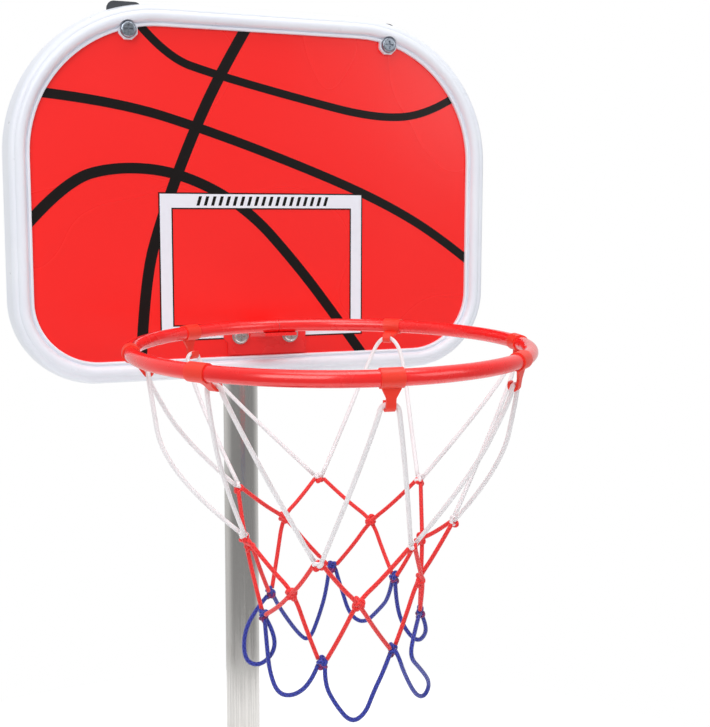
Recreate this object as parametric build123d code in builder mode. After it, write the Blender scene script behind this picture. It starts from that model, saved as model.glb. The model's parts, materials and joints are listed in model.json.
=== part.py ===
"""Height-adjustable children's basketball hoop on a fillable base.

Frame: the origin is on the floor under the pole's axis, +Z is up and the hoop faces -Y.
The base, poles, board and rim are centred on X = 0. The net and its hooks are uneven, as in use.
Millimetres. The mast stands on its lowest stop.
"""

import math
import os

from build123d import *

# ---- Driving dimensions ----
RING_Z = 930.0  # height of the rim's centreline
RING_R = 134.0  # rim centreline radius
RIM_TUBE_R = 5.0
RING_BACK_GAP = 46.5  # from the board's printed face to the rim tube's centreline at the back
BOARD_Y = -91.0  # the board's printed face

PANEL_HALF_W = 186.0  # visible panel, inside the frame
PANEL_LOW = RING_Z - 30.0
PANEL_HIGH = RING_Z + 237.5
PANEL_R_LOW = 50.0
PANEL_R_HIGH = 103.0
PANEL_T = 3.0
PANEL_UNDER_LIP = 6.0  # how far the panel reaches under the frame's lip
FRAME_W = 20.0  # width of the frame's moulding, seen from the front
FRAME_BACK = 16.0  # depth of the frame behind the printed face

CORNER_X = 109.6  # upper board screws
CORNER_Z = RING_Z + 233.0
RIM_BOLT_X = 21.6  # rim bracket screws
RIM_BOLT_Z = RING_Z - 12.6
BOLT_R = 3.0
BOLT_HOLE_R = 3.2

POLE_R = 16.0  # telescoping upper pole
POLE_WALL = 1.2
POLE_TOP = RING_Z + 70.0
ARM_BOLT_Z = RING_Z + 42.0
ARM_TUBE_R = 8.0
TAB_T = 3.2  # flattened ends of the rear arms
TAB_TOPS = {-1: RING_Z + 258.2, 1: RING_Z + 254.7}  # by side: the arms aren't quite level

LOWER_POLE_R = 19.0
LOWER_POLE_WALL = 1.5
COLLAR_TOP = 505.0
SLIDE = 250.0  # height adjustment
POLE_OVERLAP = 100.0  # upper pole left in the collar at the highest setting
MAST_FOOT = COLLAR_TOP - SLIDE - POLE_OVERLAP
POLE_SPLIT = 480.0  # joint between the upper pole's two lengths
KNOB_Z = COLLAR_TOP - 24.0
SCREW_R = 4.0

BASE_X = 410.0
BASE_Y = 440.0
BASE_MID_Y = -20.0
BASE_H = 78.0
BASE_WALL = 3.0
BASE_CORNER_R = 95.0
SOCKET_TOP = 104.0
SOCKET_R = 27.0
SOCKET_FLOOR = 12.0
FILL_Y = 148.0
FILL_R = 15.0

RUN = 0.08  # radial clearance of running fits
CORD_R = 1.5
KNOT_R = 3.9

# Hooks round the rim: angle from the board's direction and inward lean, in degrees.
HOOKS = [(35, 6), (85, 36), (127, 50), (176, 6), (223, 8), (262, 14), (320, 55)]
# Each hook's cord: how far it spreads sideways from the hook, and over what drop
SPREADS = [(1.5, 7), (1.0, 7), (1.5, 7), (1.5, 7), (1.0, 7), (1.5, 7), (8.0, 13)]
# How far the two sides of each hook's cord bow outwards and sag, from the rising-angle side's end
BOWS = [
    ((0, 2.5), (2, 3)), ((6, 5), (21, 8)), ((6, 3), (0, 2.5)), ((0, 2.5), (3, 2.5)),
    ((6, 3), (12, 4)), ((0, 2.5), (0, 2.5)), ((0, 2.5), (0, 2.5)),
]
# Knots of the net: angle from the board's direction, radius, height from the rim.
WHITE_KNOTS = [
    (-10, 66, -108), (63, 66, -100), (100, 66, -122), (154, 64, -130),
    (212, 69, -125), (246, 84, -120), (275, 69, -100),
]
RED_KNOTS = [
    (24, 51, -131), (80, 57, -137), (132, 52, -157), (181, 53, -162),
    (236, 63, -159), (260, 63, -139), (308, 53, -136),
]
BLUE_KNOTS = [
    (-19, 45, -171), (56, 45, -178), (90, 49, -183), (154, 45, -204),
    (220, 49, -204), (245, 62, -185), (269, 47, -168),
]
# Each blue loop's route from its knot to the next one, as knots are given
BLUE_ROUTES = [
    [(-14, 47, -190), (-7, 48, -211), (2, 48, -229), (13, 48, -221), (39, 47, -192)],
    [(64, 52, -186), (78, 61, -198), (86, 62, -216), (92, 52, -219), (96, 42, -208), (93, 43, -194)],
    [(98, 49, -203), (105, 50, -219), (117, 51, -230), (132, 50, -228), (145, 48, -218)],
    [
        (156, 47, -218), (165, 48, -232), (177, 49, -245), (189, 49, -241), (197, 49, -227),
        (208, 49, -215),
    ],
    [
        (214, 57, -205), (224, 56, -221), (239, 60, -243), (248, 66, -249), (248, 70, -238),
        (231, 65, -219), (217, 64, -205), (223, 63, -193),
    ],
    [(250, 66, -195), (253, 67, -205), (259, 62, -214), (266, 54, -206), (270, 49, -189)],
    [(279, 47, -186), (294, 48, -199), (311, 48, -214), (325, 48, -209), (332, 47, -190)],
]

RING_CENTRE = Vector(0, BOARD_Y - RING_BACK_GAP - RING_R, RING_Z)
BOARD_PLANE = Plane(origin=(0, BOARD_Y, 0), x_dir=(1, 0, 0), z_dir=(0, -1, 0))
NET_COUNT = len(HOOKS)

os.makedirs("parts", exist_ok=True)


def write(piece, name):
    """Labels a finished piece and writes its STEP file."""
    piece.part.label = name
    export_step(piece.part, f"parts/{name}.step")


def board_sketch(plane, inset):
    """The board's outline on a plane, inset from the visible panel's edge."""
    with BuildSketch(plane) as outline:
        with Locations((0, (PANEL_LOW + PANEL_HIGH) / 2)):
            Rectangle(2 * (PANEL_HALF_W - inset), PANEL_HIGH - PANEL_LOW - 2 * inset)
        fillet(outline.vertices().group_by(Axis.Y)[0], PANEL_R_LOW - inset)
        fillet(outline.vertices().group_by(Axis.Y)[-1], PANEL_R_HIGH - inset)
    return outline.sketch


def ring_point(angle, radius, rise):
    """Point by its angle from the board's direction, its radius and its height from the rim."""
    turn = math.radians(angle + 90)
    return RING_CENTRE + Vector(radius * math.cos(turn), radius * math.sin(turn), rise)


def ring_section(angle, lean=0.0):
    """Plane across the rim's tube: x points outwards, y up, tipped so that -y leans inwards."""
    turn = math.radians(angle + 90)
    tilt = math.radians(lean)
    outward = Vector(math.cos(turn), math.sin(turn), 0)
    backward = Vector(math.sin(turn), -math.cos(turn), 0)
    across = outward * math.cos(tilt) - Vector(0, 0, math.sin(tilt))
    return Plane(origin=ring_point(angle, RING_R, 0), x_dir=across, z_dir=backward)


def pan_screw(seat, head_r, head_h, length):
    """Pan-head screw with a cross recess; seat lies under the head and faces out of it."""
    with BuildPart() as screw:
        with BuildSketch(seat):
            Circle(head_r)
        extrude(amount=head_h)
        crown = screw.edges().filter_by(GeomType.CIRCLE)
        fillet(crown.sort_by(Axis(seat.origin, seat.z_dir))[-1], head_h * 0.55)
        with BuildSketch(seat.offset(head_h)):
            Rectangle(head_r * 1.1, head_r * 0.22)
            Rectangle(head_r * 0.22, head_r * 1.1)
        extrude(amount=-head_h * 0.5, mode=Mode.SUBTRACT)
        with BuildSketch(seat):
            Circle(BOLT_R)
        extrude(amount=-length)
    return screw.part


def hex_head_bolt(seat, across, head_h, length):
    """Hexagon bolt; seat lies under the head and faces out of it."""
    with BuildPart() as bolt:
        with BuildSketch(seat):
            RegularPolygon(across / 2, 6, major_radius=False)
        extrude(amount=head_h)
        with BuildSketch(seat):
            Circle(BOLT_R)
        extrude(amount=-length)
    return bolt.part


def side_plane(side, x):
    """Upright plane facing sideways at x, on the side given by its sign; its y is up."""
    return Plane(origin=(side * x, 0, 0), x_dir=(0, side, 0), z_dir=(side, 0, 0))


def ring_plate(seat, outer_r, hole_r, height, sides=0):
    """Washer, or a nut when sides is given, standing on seat."""
    with BuildPart() as plate:
        with BuildSketch(seat):
            if sides:
                RegularPolygon(outer_r, sides, major_radius=False)
            else:
                Circle(outer_r)
            Circle(hole_r, mode=Mode.SUBTRACT)
        extrude(amount=height)
    return plate.part


def tube(z_low, z_high, outer_r, inner_r):
    """Upright tube on the pole's axis."""
    with BuildPart() as pipe:
        with BuildSketch(Plane.XY.offset(z_low)):
            Circle(outer_r)
            Circle(inner_r, mode=Mode.SUBTRACT)
        extrude(amount=z_high - z_low)
    return pipe.part


# ---- Base ----
BASE_DRAFT = 9.0
DECK_INSET = 48.0  # from the base's outline to the deck's raised middle
DECK_RISE = 7.0
NECK_RISE = 9.0  # filler neck above the deck
DECK_TOP = BASE_H + DECK_RISE - 1
NECK_TOP = DECK_TOP + NECK_RISE


def base_plan(z, inset):
    """Rounded plan of the base at height z."""
    with BuildSketch(Plane.XY.offset(z)) as plan:
        with Locations((0, BASE_MID_Y)):
            RectangleRounded(BASE_X - 2 * inset, BASE_Y - 2 * inset, BASE_CORNER_R - inset)
    return plan.sketch


with BuildPart() as base_tank:
    extrude(base_plan(0, 0), amount=BASE_H, taper=BASE_DRAFT)
    fillet(base_tank.faces().sort_by(Axis.Z)[-1].edges(), 14)
    extrude(base_plan(BASE_H - 1, DECK_INSET), amount=DECK_RISE, taper=30)
    # Hollow for water or sand
    hollow_h = BASE_H - 2 * BASE_WALL
    extrude(base_plan(BASE_WALL, BASE_WALL), amount=hollow_h, taper=BASE_DRAFT + 2, mode=Mode.SUBTRACT)
    # Pole socket: a column through the hollow, with a flared foot on the deck
    with BuildSketch():
        Circle(SOCKET_R)
    extrude(amount=SOCKET_TOP)
    with BuildSketch(Plane.XY.offset(DECK_TOP - 1)):
        Circle(56)
    extrude(amount=SOCKET_TOP - DECK_TOP - 4, taper=58)
    # Filler neck
    with BuildSketch(Plane.XY.offset(BASE_H - BASE_WALL)):
        with Locations((0, FILL_Y)):
            Circle(FILL_R + 5)
    extrude(amount=NECK_TOP - BASE_H + BASE_WALL)
    with BuildSketch(Plane.XY.offset(NECK_TOP)):
        with Locations((0, FILL_Y)):
            Circle(FILL_R)
    extrude(amount=-(NECK_TOP - BASE_H + 3 * BASE_WALL), mode=Mode.SUBTRACT)
    with BuildSketch(Plane.XY.offset(SOCKET_TOP)):
        Circle(LOWER_POLE_R)
    extrude(amount=SOCKET_FLOOR - SOCKET_TOP, mode=Mode.SUBTRACT)
write(base_tank, "base_tank")

SEAL_T = 1.5
CAP_R = FILL_R + 5
PLUG_LENGTH = 14.0

with BuildPart() as fill_cap_seal:
    with BuildSketch(Plane.XY.offset(NECK_TOP)):
        with Locations((0, FILL_Y)):
            Circle(CAP_R - 0.5)
            Circle(FILL_R - 0.5, mode=Mode.SUBTRACT)
    extrude(amount=SEAL_T)
write(fill_cap_seal, "fill_cap_seal")

with BuildPart() as fill_cap:
    with BuildSketch(Plane.XY.offset(NECK_TOP + SEAL_T)):
        with Locations((0, FILL_Y)):
            Circle(CAP_R)
    extrude(amount=5)
    fillet(fill_cap.edges().group_by(Axis.Z)[-1], 1.5)
    # Finger bar across the cap
    with BuildSketch(Plane.XY.offset(NECK_TOP + SEAL_T + 5)):
        with Locations((0, FILL_Y)):
            SlotOverall(30, 7)
    extrude(amount=7, taper=6)
    with BuildSketch(Plane.XY.offset(NECK_TOP + SEAL_T)):
        with Locations((0, FILL_Y)):
            Circle(FILL_R - 0.5)
            Circle(FILL_R - 3.5, mode=Mode.SUBTRACT)
    extrude(amount=-(PLUG_LENGTH + SEAL_T))
write(fill_cap, "fill_cap")

# Ring that closes the socket round the lower pole, held by a screw
SOCKET_RING_H = 14.0
with BuildPart() as socket_ring:
    with BuildSketch(Plane.XY.offset(SOCKET_TOP)):
        Circle(SOCKET_R)
    extrude(amount=SOCKET_RING_H, taper=20)
    with BuildSketch(Plane.XY.offset(SOCKET_TOP)):
        Circle(LOWER_POLE_R)
    extrude(amount=SOCKET_RING_H, mode=Mode.SUBTRACT)
    with BuildSketch(Plane.YZ.offset(LOWER_POLE_R - 1)):
        with Locations((0, SOCKET_TOP + SOCKET_RING_H / 2)):
            Circle(BOLT_HOLE_R)
    extrude(amount=SOCKET_R, mode=Mode.SUBTRACT)
write(socket_ring, "socket_ring")

with BuildPart() as socket_screw:
    seat = Plane(
        origin=(SOCKET_R, 0, SOCKET_TOP + SOCKET_RING_H / 2), x_dir=(0, 1, 0), z_dir=(1, 0, 0)
    )
    add(pan_screw(seat, 5.5, 3, SOCKET_R - LOWER_POLE_R - 0.1))
write(socket_screw, "socket_screw")

# ---- Lower pole and height clamp ----
with BuildPart() as lower_pole:
    add(tube(SOCKET_FLOOR, COLLAR_TOP - 8, LOWER_POLE_R, LOWER_POLE_R - LOWER_POLE_WALL))
    with BuildSketch(Plane.XZ):
        with Locations((0, KNOB_Z)):
            Circle(SCREW_R + 1.5)
    extrude(amount=-2 * LOWER_POLE_R, mode=Mode.SUBTRACT)
write(lower_pole, "lower_pole")

with BuildPart() as pole_stop:
    add(tube(MAST_FOOT - 24, MAST_FOOT - 0.5, LOWER_POLE_R - LOWER_POLE_WALL, 9))
write(pole_stop, "pole_stop")

COLLAR_WALL = 4.0
COLLAR_H = 58.0
BOSS_R = 10.0
BOSS_END = 36.0
NUT_T = 6.0
with BuildPart() as clamp_collar:
    with BuildSketch(Plane.XY.offset(COLLAR_TOP - COLLAR_H)):
        Circle(LOWER_POLE_R + COLLAR_WALL)
    extrude(amount=COLLAR_H)
    rims = clamp_collar.edges().filter_by(GeomType.CIRCLE)
    fillet(rims, 2)
    with BuildSketch(Plane.XZ):
        with Locations((0, KNOB_Z)):
            Circle(BOSS_R)
    extrude(amount=-BOSS_END)
    with BuildSketch(Plane.XY.offset(COLLAR_TOP - COLLAR_H)):
        Circle(LOWER_POLE_R)
    extrude(amount=COLLAR_H - 8, mode=Mode.SUBTRACT)
    with BuildSketch(Plane.XY.offset(COLLAR_TOP - COLLAR_H)):
        Circle(POLE_R + RUN)
    extrude(amount=COLLAR_H, mode=Mode.SUBTRACT)
    # Screw hole and the pocket that holds its nut
    with BuildSketch(Plane.XZ):
        with Locations((0, KNOB_Z)):
            Circle(SCREW_R + 0.4)
    extrude(amount=-BOSS_END, mode=Mode.SUBTRACT)
    with BuildSketch(Plane.XZ.offset(-(BOSS_END - 4 - NUT_T))):
        with Locations((0, KNOB_Z)):
            RegularPolygon(6.5, 6, major_radius=False)
    extrude(amount=-NUT_T, mode=Mode.SUBTRACT)
write(clamp_collar, "clamp_collar")

with BuildPart() as clamp_nut:
    nut_seat = Plane(origin=(0, BOSS_END - 4 - NUT_T, KNOB_Z), x_dir=(1, 0, 0), z_dir=(0, 1, 0))
    add(ring_plate(nut_seat, 6.5, SCREW_R + 0.05, NUT_T, sides=6))
write(clamp_nut, "clamp_nut")

SHOE_GAP = 0.35
with BuildPart() as clamp_shoe:
    with BuildSketch(Plane.XZ.offset(-(POLE_R + SHOE_GAP))):
        with Locations((0, KNOB_Z)):
            Circle(SCREW_R)
    extrude(amount=-2.6)
write(clamp_shoe, "clamp_shoe")

KNOB_R = 17.0
KNOB_T = 15.0
KNOB_FACE = BOSS_END + 1.5
with BuildPart() as clamp_screw:
    with BuildSketch(Plane.XZ.offset(-(POLE_R + SHOE_GAP + 3))):
        with Locations((0, KNOB_Z)):
            Circle(SCREW_R)
    extrude(amount=-(KNOB_FACE + 9 - POLE_R - SHOE_GAP - 3))
write(clamp_screw, "clamp_screw")

with BuildPart() as clamp_knob:
    with BuildSketch(Plane.XZ.offset(-KNOB_FACE)):
        with Locations((0, KNOB_Z)):
            Circle(KNOB_R)
            with PolarLocations(KNOB_R + 3, 6):
                Circle(6, mode=Mode.SUBTRACT)
    extrude(amount=-KNOB_T)
    ends = clamp_knob.faces().filter_by(Plane.XZ).edges()
    fillet(ends, 1.5)
    with BuildSketch(Plane.XZ.offset(-KNOB_FACE)):
        with Locations((0, KNOB_Z)):
            Circle(SCREW_R)
    extrude(amount=-9, mode=Mode.SUBTRACT)
write(clamp_knob, "clamp_knob")

# ---- Upper pole ----
POLE_INNER = POLE_R - POLE_WALL
with BuildPart() as upper_pole_lower_length:
    add(tube(MAST_FOOT + 4, POLE_SPLIT, POLE_R, POLE_INNER))
write(upper_pole_lower_length, "upper_pole_lower_length")

POLE_BOLT_HEIGHTS = (RIM_BOLT_Z, ARM_BOLT_Z)
with BuildPart() as upper_pole:
    add(tube(POLE_SPLIT, POLE_TOP, POLE_R, POLE_INNER))
    with BuildSketch(Plane.YZ):
        with Locations(*[(0, z) for z in POLE_BOLT_HEIGHTS]):
            Circle(BOLT_HOLE_R)
    extrude(amount=2 * POLE_R, both=True, mode=Mode.SUBTRACT)
write(upper_pole, "upper_pole")

with BuildPart() as pole_coupler:
    add(tube(POLE_SPLIT - 55, POLE_SPLIT + 55, POLE_INNER, POLE_INNER - 1.2))
write(pole_coupler, "pole_coupler")

with BuildPart() as pole_foot_bush:
    add(tube(MAST_FOOT, MAST_FOOT + 32, LOWER_POLE_R - LOWER_POLE_WALL - RUN, POLE_R))
    add(tube(MAST_FOOT, MAST_FOOT + 4, LOWER_POLE_R - LOWER_POLE_WALL - RUN, 8))
write(pole_foot_bush, "pole_foot_bush")

with BuildPart() as pole_cap:
    with BuildSketch(Plane.XY.offset(POLE_TOP)):
        Circle(POLE_R + 1)
    extrude(amount=6)
    fillet(pole_cap.edges().group_by(Axis.Z)[-1], 4)
    add(tube(POLE_TOP - 14, POLE_TOP, POLE_INNER, POLE_INNER - 2))
write(pole_cap, "pole_cap")

# ---- Backboard ----
# Section of the frame's moulding: u outwards from the visible panel's edge, v forwards from the
# printed face. A thin lip, a quirk, a raised bead, a shallow quirk, a roll and a sloping side.
section_plane = Plane(origin=(0, BOARD_Y, PANEL_LOW), x_dir=(0, 0, -1), z_dir=(-1, 0, 0))
with BuildSketch(section_plane) as moulding:
    with BuildLine():
        Line((0, 0), (0, 2.2))
        ThreePointArc((0, 2.2), (1.3, 3.0), (2.5, 2.2))
        Line((2.5, 2.2), (3.3, 2.2))
        ThreePointArc((3.3, 2.2), (7.4, 7.6), (11.5, 6.0))
        ThreePointArc((11.5, 6.0), (14.8, 4.9), (16.3, 1.0))
        Line((16.3, 1.0), (FRAME_W, -FRAME_BACK))
        Line((FRAME_W, -FRAME_BACK), (FRAME_W - 2.4, -FRAME_BACK))
        Line((FRAME_W - 2.4, -FRAME_BACK), (13.9, 0.8))
        Line((13.9, 0.8), (8.6, 1.8))
        Line((8.6, 1.8), (8.4, -10))
        Line((8.4, -10), (6.4, -10))
        Line((6.4, -10), (6.2, 0))
        Line((6.2, 0), (0, 0))
    make_face()

with BuildLine() as frame_path:
    FilletPolyline(
        (0, BOARD_Y, PANEL_LOW),
        (PANEL_HALF_W, BOARD_Y, PANEL_LOW),
        (PANEL_HALF_W, BOARD_Y, PANEL_HIGH),
        (0, BOARD_Y, PANEL_HIGH),
        radius=[PANEL_R_LOW, PANEL_R_HIGH],
    )

BOSS_R_CORNER = 8.0
BOSS_RISE = 3.4
with BuildPart() as backboard_frame:
    sweep(moulding.sketch, path=frame_path.wire())
    mirror(about=Plane.YZ)
    # Eight-sided pads under the upper screws
    with BuildSketch(BOARD_PLANE):
        with Locations((-CORNER_X, CORNER_Z), (CORNER_X, CORNER_Z)):
            RegularPolygon(BOSS_R_CORNER, 8, rotation=22.5)
    extrude(amount=BOSS_RISE)
    with BuildSketch(BOARD_PLANE.offset(BOSS_RISE + 6)):
        with Locations((-CORNER_X, CORNER_Z), (CORNER_X, CORNER_Z)):
            Circle(BOLT_HOLE_R)
    extrude(amount=-12, mode=Mode.SUBTRACT)
    with BuildSketch(BOARD_PLANE.offset(BOSS_RISE)):
        with Locations((-CORNER_X, CORNER_Z), (CORNER_X, CORNER_Z)):
            Circle(7.2)
    extrude(amount=6, mode=Mode.SUBTRACT)
write(backboard_frame, "backboard_frame")

with BuildPart() as backboard_panel:
    extrude(board_sketch(BOARD_PLANE, -PANEL_UNDER_LIP), amount=-PANEL_T)
    with BuildSketch(BOARD_PLANE):
        with Locations((-CORNER_X, CORNER_Z), (CORNER_X, CORNER_Z)):
            Circle(BOLT_HOLE_R)
        with Locations((-RIM_BOLT_X, RIM_BOLT_Z), (RIM_BOLT_X, RIM_BOLT_Z)):
            Circle(BOLT_HOLE_R)
    extrude(amount=-PANEL_T, mode=Mode.SUBTRACT)
write(backboard_panel, "backboard_panel")

with BuildPart() as corner_spacers:
    with BuildSketch(BOARD_PLANE.offset(-PANEL_T)):
        with Locations((-CORNER_X, CORNER_Z), (CORNER_X, CORNER_Z)):
            Circle(7)
            Circle(BOLT_HOLE_R, mode=Mode.SUBTRACT)
    extrude(amount=-(FRAME_BACK - PANEL_T))
write(corner_spacers, "corner_spacers")

HEAD_H = 3.6
CORNER_SCREW_LENGTH = BOSS_RISE + FRAME_BACK + TAB_T + 8
with BuildPart() as corner_screws:
    for x in (-CORNER_X, CORNER_X):
        seat = Plane(origin=(x, BOARD_Y - BOSS_RISE, CORNER_Z), x_dir=(1, 0, 0), z_dir=(0, -1, 0))
        add(pan_screw(seat, 6.4, HEAD_H, CORNER_SCREW_LENGTH))
write(corner_screws, "corner_screws")

TAB_BACK_Y = BOARD_Y + FRAME_BACK + TAB_T
with BuildPart() as corner_nuts:
    for x in (-CORNER_X, CORNER_X):
        seat = Plane(origin=(x, TAB_BACK_Y, CORNER_Z), x_dir=(1, 0, 0), z_dir=(0, 1, 0))
        add(ring_plate(seat, 6.5, BOLT_R, 0.8))
        add(ring_plate(seat.offset(0.8), 5.0, BOLT_R, 5, sides=6))
write(corner_nuts, "corner_nuts")


# ---- Rear arms ----
ARM_X = POLE_R + TAB_T / 2  # lower tab, against the side of the pole
ARM_TUBE_X = 26.0
ARM_TUBE_Y = BOARD_Y + FRAME_BACK + ARM_TUBE_R + 2


def rear_arm(side):
    """Bent tube from the side of the pole to an upper corner of the board, its ends pressed flat."""
    tube_x = side * ARM_TUBE_X
    with BuildPart() as arm:
        # Lower flat end
        with BuildSketch(side_plane(side, POLE_R)):
            with Locations((0, ARM_BOLT_Z)):
                SlotOverall(44, 24, rotation=90)
        extrude(amount=TAB_T)
        neck_z = ARM_BOLT_Z + 10
        with BuildSketch(Plane(origin=(side * ARM_X, 0, neck_z), z_dir=(0, 0, 1))):
            Ellipse(TAB_T / 2, 12)
        with BuildSketch(Plane(origin=(tube_x, 0, POLE_TOP + 8), z_dir=(0, 0, 1))):
            Circle(ARM_TUBE_R)
        loft()
        # Round tube with two bends
        with BuildLine() as route:
            FilletPolyline(
                (tube_x, 0, POLE_TOP + 8),
                (tube_x, 0, POLE_TOP + 34),
                (side * CORNER_X, ARM_TUBE_Y, CORNER_Z - 62),
                (side * CORNER_X, ARM_TUBE_Y, CORNER_Z - 36),
                radius=[26, 26],
            )
        with BuildSketch(Plane(origin=(tube_x, 0, POLE_TOP + 8), z_dir=(0, 0, 1))):
            Circle(ARM_TUBE_R)
            Circle(ARM_TUBE_R - 1.2, mode=Mode.SUBTRACT)
        sweep(path=route.wire())
        # Upper flat end, behind the board
        with BuildSketch(Plane(origin=(side * CORNER_X, ARM_TUBE_Y, CORNER_Z - 36), z_dir=(0, 0, 1))):
            Circle(ARM_TUBE_R)
        tab_foot = Plane(origin=(side * CORNER_X, TAB_BACK_Y - TAB_T / 2, CORNER_Z - 12), z_dir=(0, 0, 1))
        with BuildSketch(tab_foot):
            Ellipse(14, TAB_T / 2)
        loft()
        with BuildSketch(Plane(origin=(side * CORNER_X, TAB_BACK_Y, 0), x_dir=(1, 0, 0), z_dir=(0, -1, 0))):
            with Locations((0, (CORNER_Z - 13 + TAB_TOPS[side]) / 2)):
                Rectangle(28, TAB_TOPS[side] - CORNER_Z + 13)
        tab = extrude(amount=TAB_T)
        fillet(tab.edges().filter_by(Axis.Y).group_by(Axis.Z)[-1], 6)
        with BuildSketch(Plane.XZ):
            with Locations((side * CORNER_X, CORNER_Z)):
                Circle(BOLT_HOLE_R)
        extrude(amount=-BOARD_Y, mode=Mode.SUBTRACT)
        with BuildSketch(Plane.YZ):
            with Locations((0, ARM_BOLT_Z)):
                Circle(BOLT_HOLE_R)
        extrude(amount=side * 2 * POLE_R, mode=Mode.SUBTRACT)
    return arm


write(rear_arm(-1), "rear_arm_left")
write(rear_arm(1), "rear_arm_right")

# ---- Lower bracket, from the pole to the rim's screws ----
STRAP_T = 2.0
STRAP_H = 32.0
STRAP_Y = BOARD_Y + PANEL_T
with BuildPart() as lower_bracket:
    with BuildSketch(BOARD_PLANE.offset(-PANEL_T)):
        with Locations((0, RIM_BOLT_Z)):
            RectangleRounded(70, STRAP_H, 5)
    extrude(amount=-STRAP_T)
    for side in (-1, 1):
        with BuildSketch(side_plane(side, POLE_R)):
            with Locations((side * (STRAP_Y + POLE_R) / 2, RIM_BOLT_Z)):
                Rectangle(POLE_R - STRAP_Y, STRAP_H)
            # Slot that clears the nut of the rim's screw
            with Locations((side * (STRAP_Y + STRAP_T + 4), RIM_BOLT_Z)):
                Rectangle(8, 14, mode=Mode.SUBTRACT)
        extrude(amount=STRAP_T)
    with BuildSketch(BOARD_PLANE):
        with Locations((-RIM_BOLT_X, RIM_BOLT_Z), (RIM_BOLT_X, RIM_BOLT_Z)):
            Circle(BOLT_HOLE_R)
    extrude(amount=-(PANEL_T + STRAP_T), mode=Mode.SUBTRACT)
    with BuildSketch(Plane.YZ):
        with Locations((0, RIM_BOLT_Z)):
            Circle(BOLT_HOLE_R)
    extrude(amount=2 * POLE_R, both=True, mode=Mode.SUBTRACT)
write(lower_bracket, "lower_bracket")

with BuildPart() as pole_bolts:
    for z, grip in ((RIM_BOLT_Z, POLE_R + STRAP_T), (ARM_BOLT_Z, POLE_R + TAB_T)):
        seat = Plane(origin=(grip, 0, z), x_dir=(0, 1, 0), z_dir=(1, 0, 0))
        add(hex_head_bolt(seat, 10, 4, 2 * grip + 9))
write(pole_bolts, "pole_bolts")

with BuildPart() as pole_nuts:
    for z, grip in ((RIM_BOLT_Z, POLE_R + STRAP_T), (ARM_BOLT_Z, POLE_R + TAB_T)):
        seat = Plane(origin=(-grip, 0, z), x_dir=(0, 1, 0), z_dir=(-1, 0, 0))
        add(ring_plate(seat, 6.5, BOLT_R, 1))
        add(ring_plate(seat.offset(1), 5, BOLT_R, 5, sides=6))
write(pole_nuts, "pole_nuts")

# ---- Rim bracket ----
BRACKET_T = 2.5
BRACKET_HALF_W = 35.5
BRACKET_LOW = RING_Z - 28.5
BRACKET_TOP = RING_Z - 3.0
TONGUE_HALF_W = 13.0
TONGUE_BEND_R = 9.0
SHELF_TOP = RING_Z - RIM_TUBE_R
tube_back_y = BOARD_Y - RING_BACK_GAP
with BuildPart() as rim_bracket:
    with BuildSketch(BOARD_PLANE):
        with BuildLine():
            Polyline(
                (-BRACKET_HALF_W, BRACKET_TOP),
                (-BRACKET_HALF_W, RIM_BOLT_Z - 2),
                (-BRACKET_HALF_W + 3.5, RIM_BOLT_Z - 6),
                (-BRACKET_HALF_W + 3.5, BRACKET_LOW),
                (BRACKET_HALF_W, BRACKET_LOW),
                (BRACKET_HALF_W, BRACKET_TOP),
                close=True,
            )
        make_face()
    extrude(amount=BRACKET_T)
    # Tongue bent forwards from the plate, under the rim's tube
    with BuildSketch(Plane.YZ):
        with BuildLine():
            face_y = BOARD_Y - BRACKET_T
            Polyline(
                (face_y, SHELF_TOP),
                (tube_back_y - RIM_TUBE_R - 1, SHELF_TOP),
                (tube_back_y - RIM_TUBE_R - 1, SHELF_TOP - BRACKET_T),
                (face_y - TONGUE_BEND_R, SHELF_TOP - BRACKET_T),
            )
            RadiusArc(
                (face_y - TONGUE_BEND_R, SHELF_TOP - BRACKET_T),
                (face_y, SHELF_TOP - BRACKET_T - TONGUE_BEND_R),
                TONGUE_BEND_R,
            )
            Line((face_y, SHELF_TOP - BRACKET_T - TONGUE_BEND_R), (face_y, SHELF_TOP))
        make_face()
    extrude(amount=TONGUE_HALF_W, both=True)
    with BuildSketch(BOARD_PLANE):
        with Locations((-RIM_BOLT_X, RIM_BOLT_Z), (RIM_BOLT_X, RIM_BOLT_Z)):
            Circle(BOLT_HOLE_R)
    extrude(amount=BRACKET_T, mode=Mode.SUBTRACT)
write(rim_bracket, "rim_bracket")

with BuildPart() as rim_screw_washers:
    for x in (-RIM_BOLT_X, RIM_BOLT_X):
        seat = Plane(origin=(x, BOARD_Y - BRACKET_T, RIM_BOLT_Z), x_dir=(1, 0, 0), z_dir=(0, -1, 0))
        add(ring_plate(seat, 7.0, BOLT_HOLE_R, 0.8))
write(rim_screw_washers, "rim_screw_washers")

with BuildPart() as rim_screws:
    for x in (-RIM_BOLT_X, RIM_BOLT_X):
        seat = Plane(origin=(x, BOARD_Y - BRACKET_T - 0.8, RIM_BOLT_Z), x_dir=(1, 0, 0), z_dir=(0, -1, 0))
        add(pan_screw(seat, 6.0, HEAD_H, BRACKET_T + 0.8 + PANEL_T + STRAP_T + 7))
write(rim_screws, "rim_screws")

with BuildPart() as rim_nuts:
    for x in (-RIM_BOLT_X, RIM_BOLT_X):
        seat = Plane(origin=(x, STRAP_Y + STRAP_T, RIM_BOLT_Z), x_dir=(1, 0, 0), z_dir=(0, 1, 0))
        add(ring_plate(seat, 5.0, BOLT_R, 5, sides=6))
write(rim_nuts, "rim_nuts")

# ---- Rim ----
RIM_BACK_SEAM = 0.5  # angles of the joints between the rim's two lengths
RIM_FRONT_SEAM = 176.0
SEAM_GAP = 0.1  # degrees
RIM_TUBE_WALL = 1.2
RIM_AXIS = Axis(RING_CENTRE, (0, 0, 1))


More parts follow.
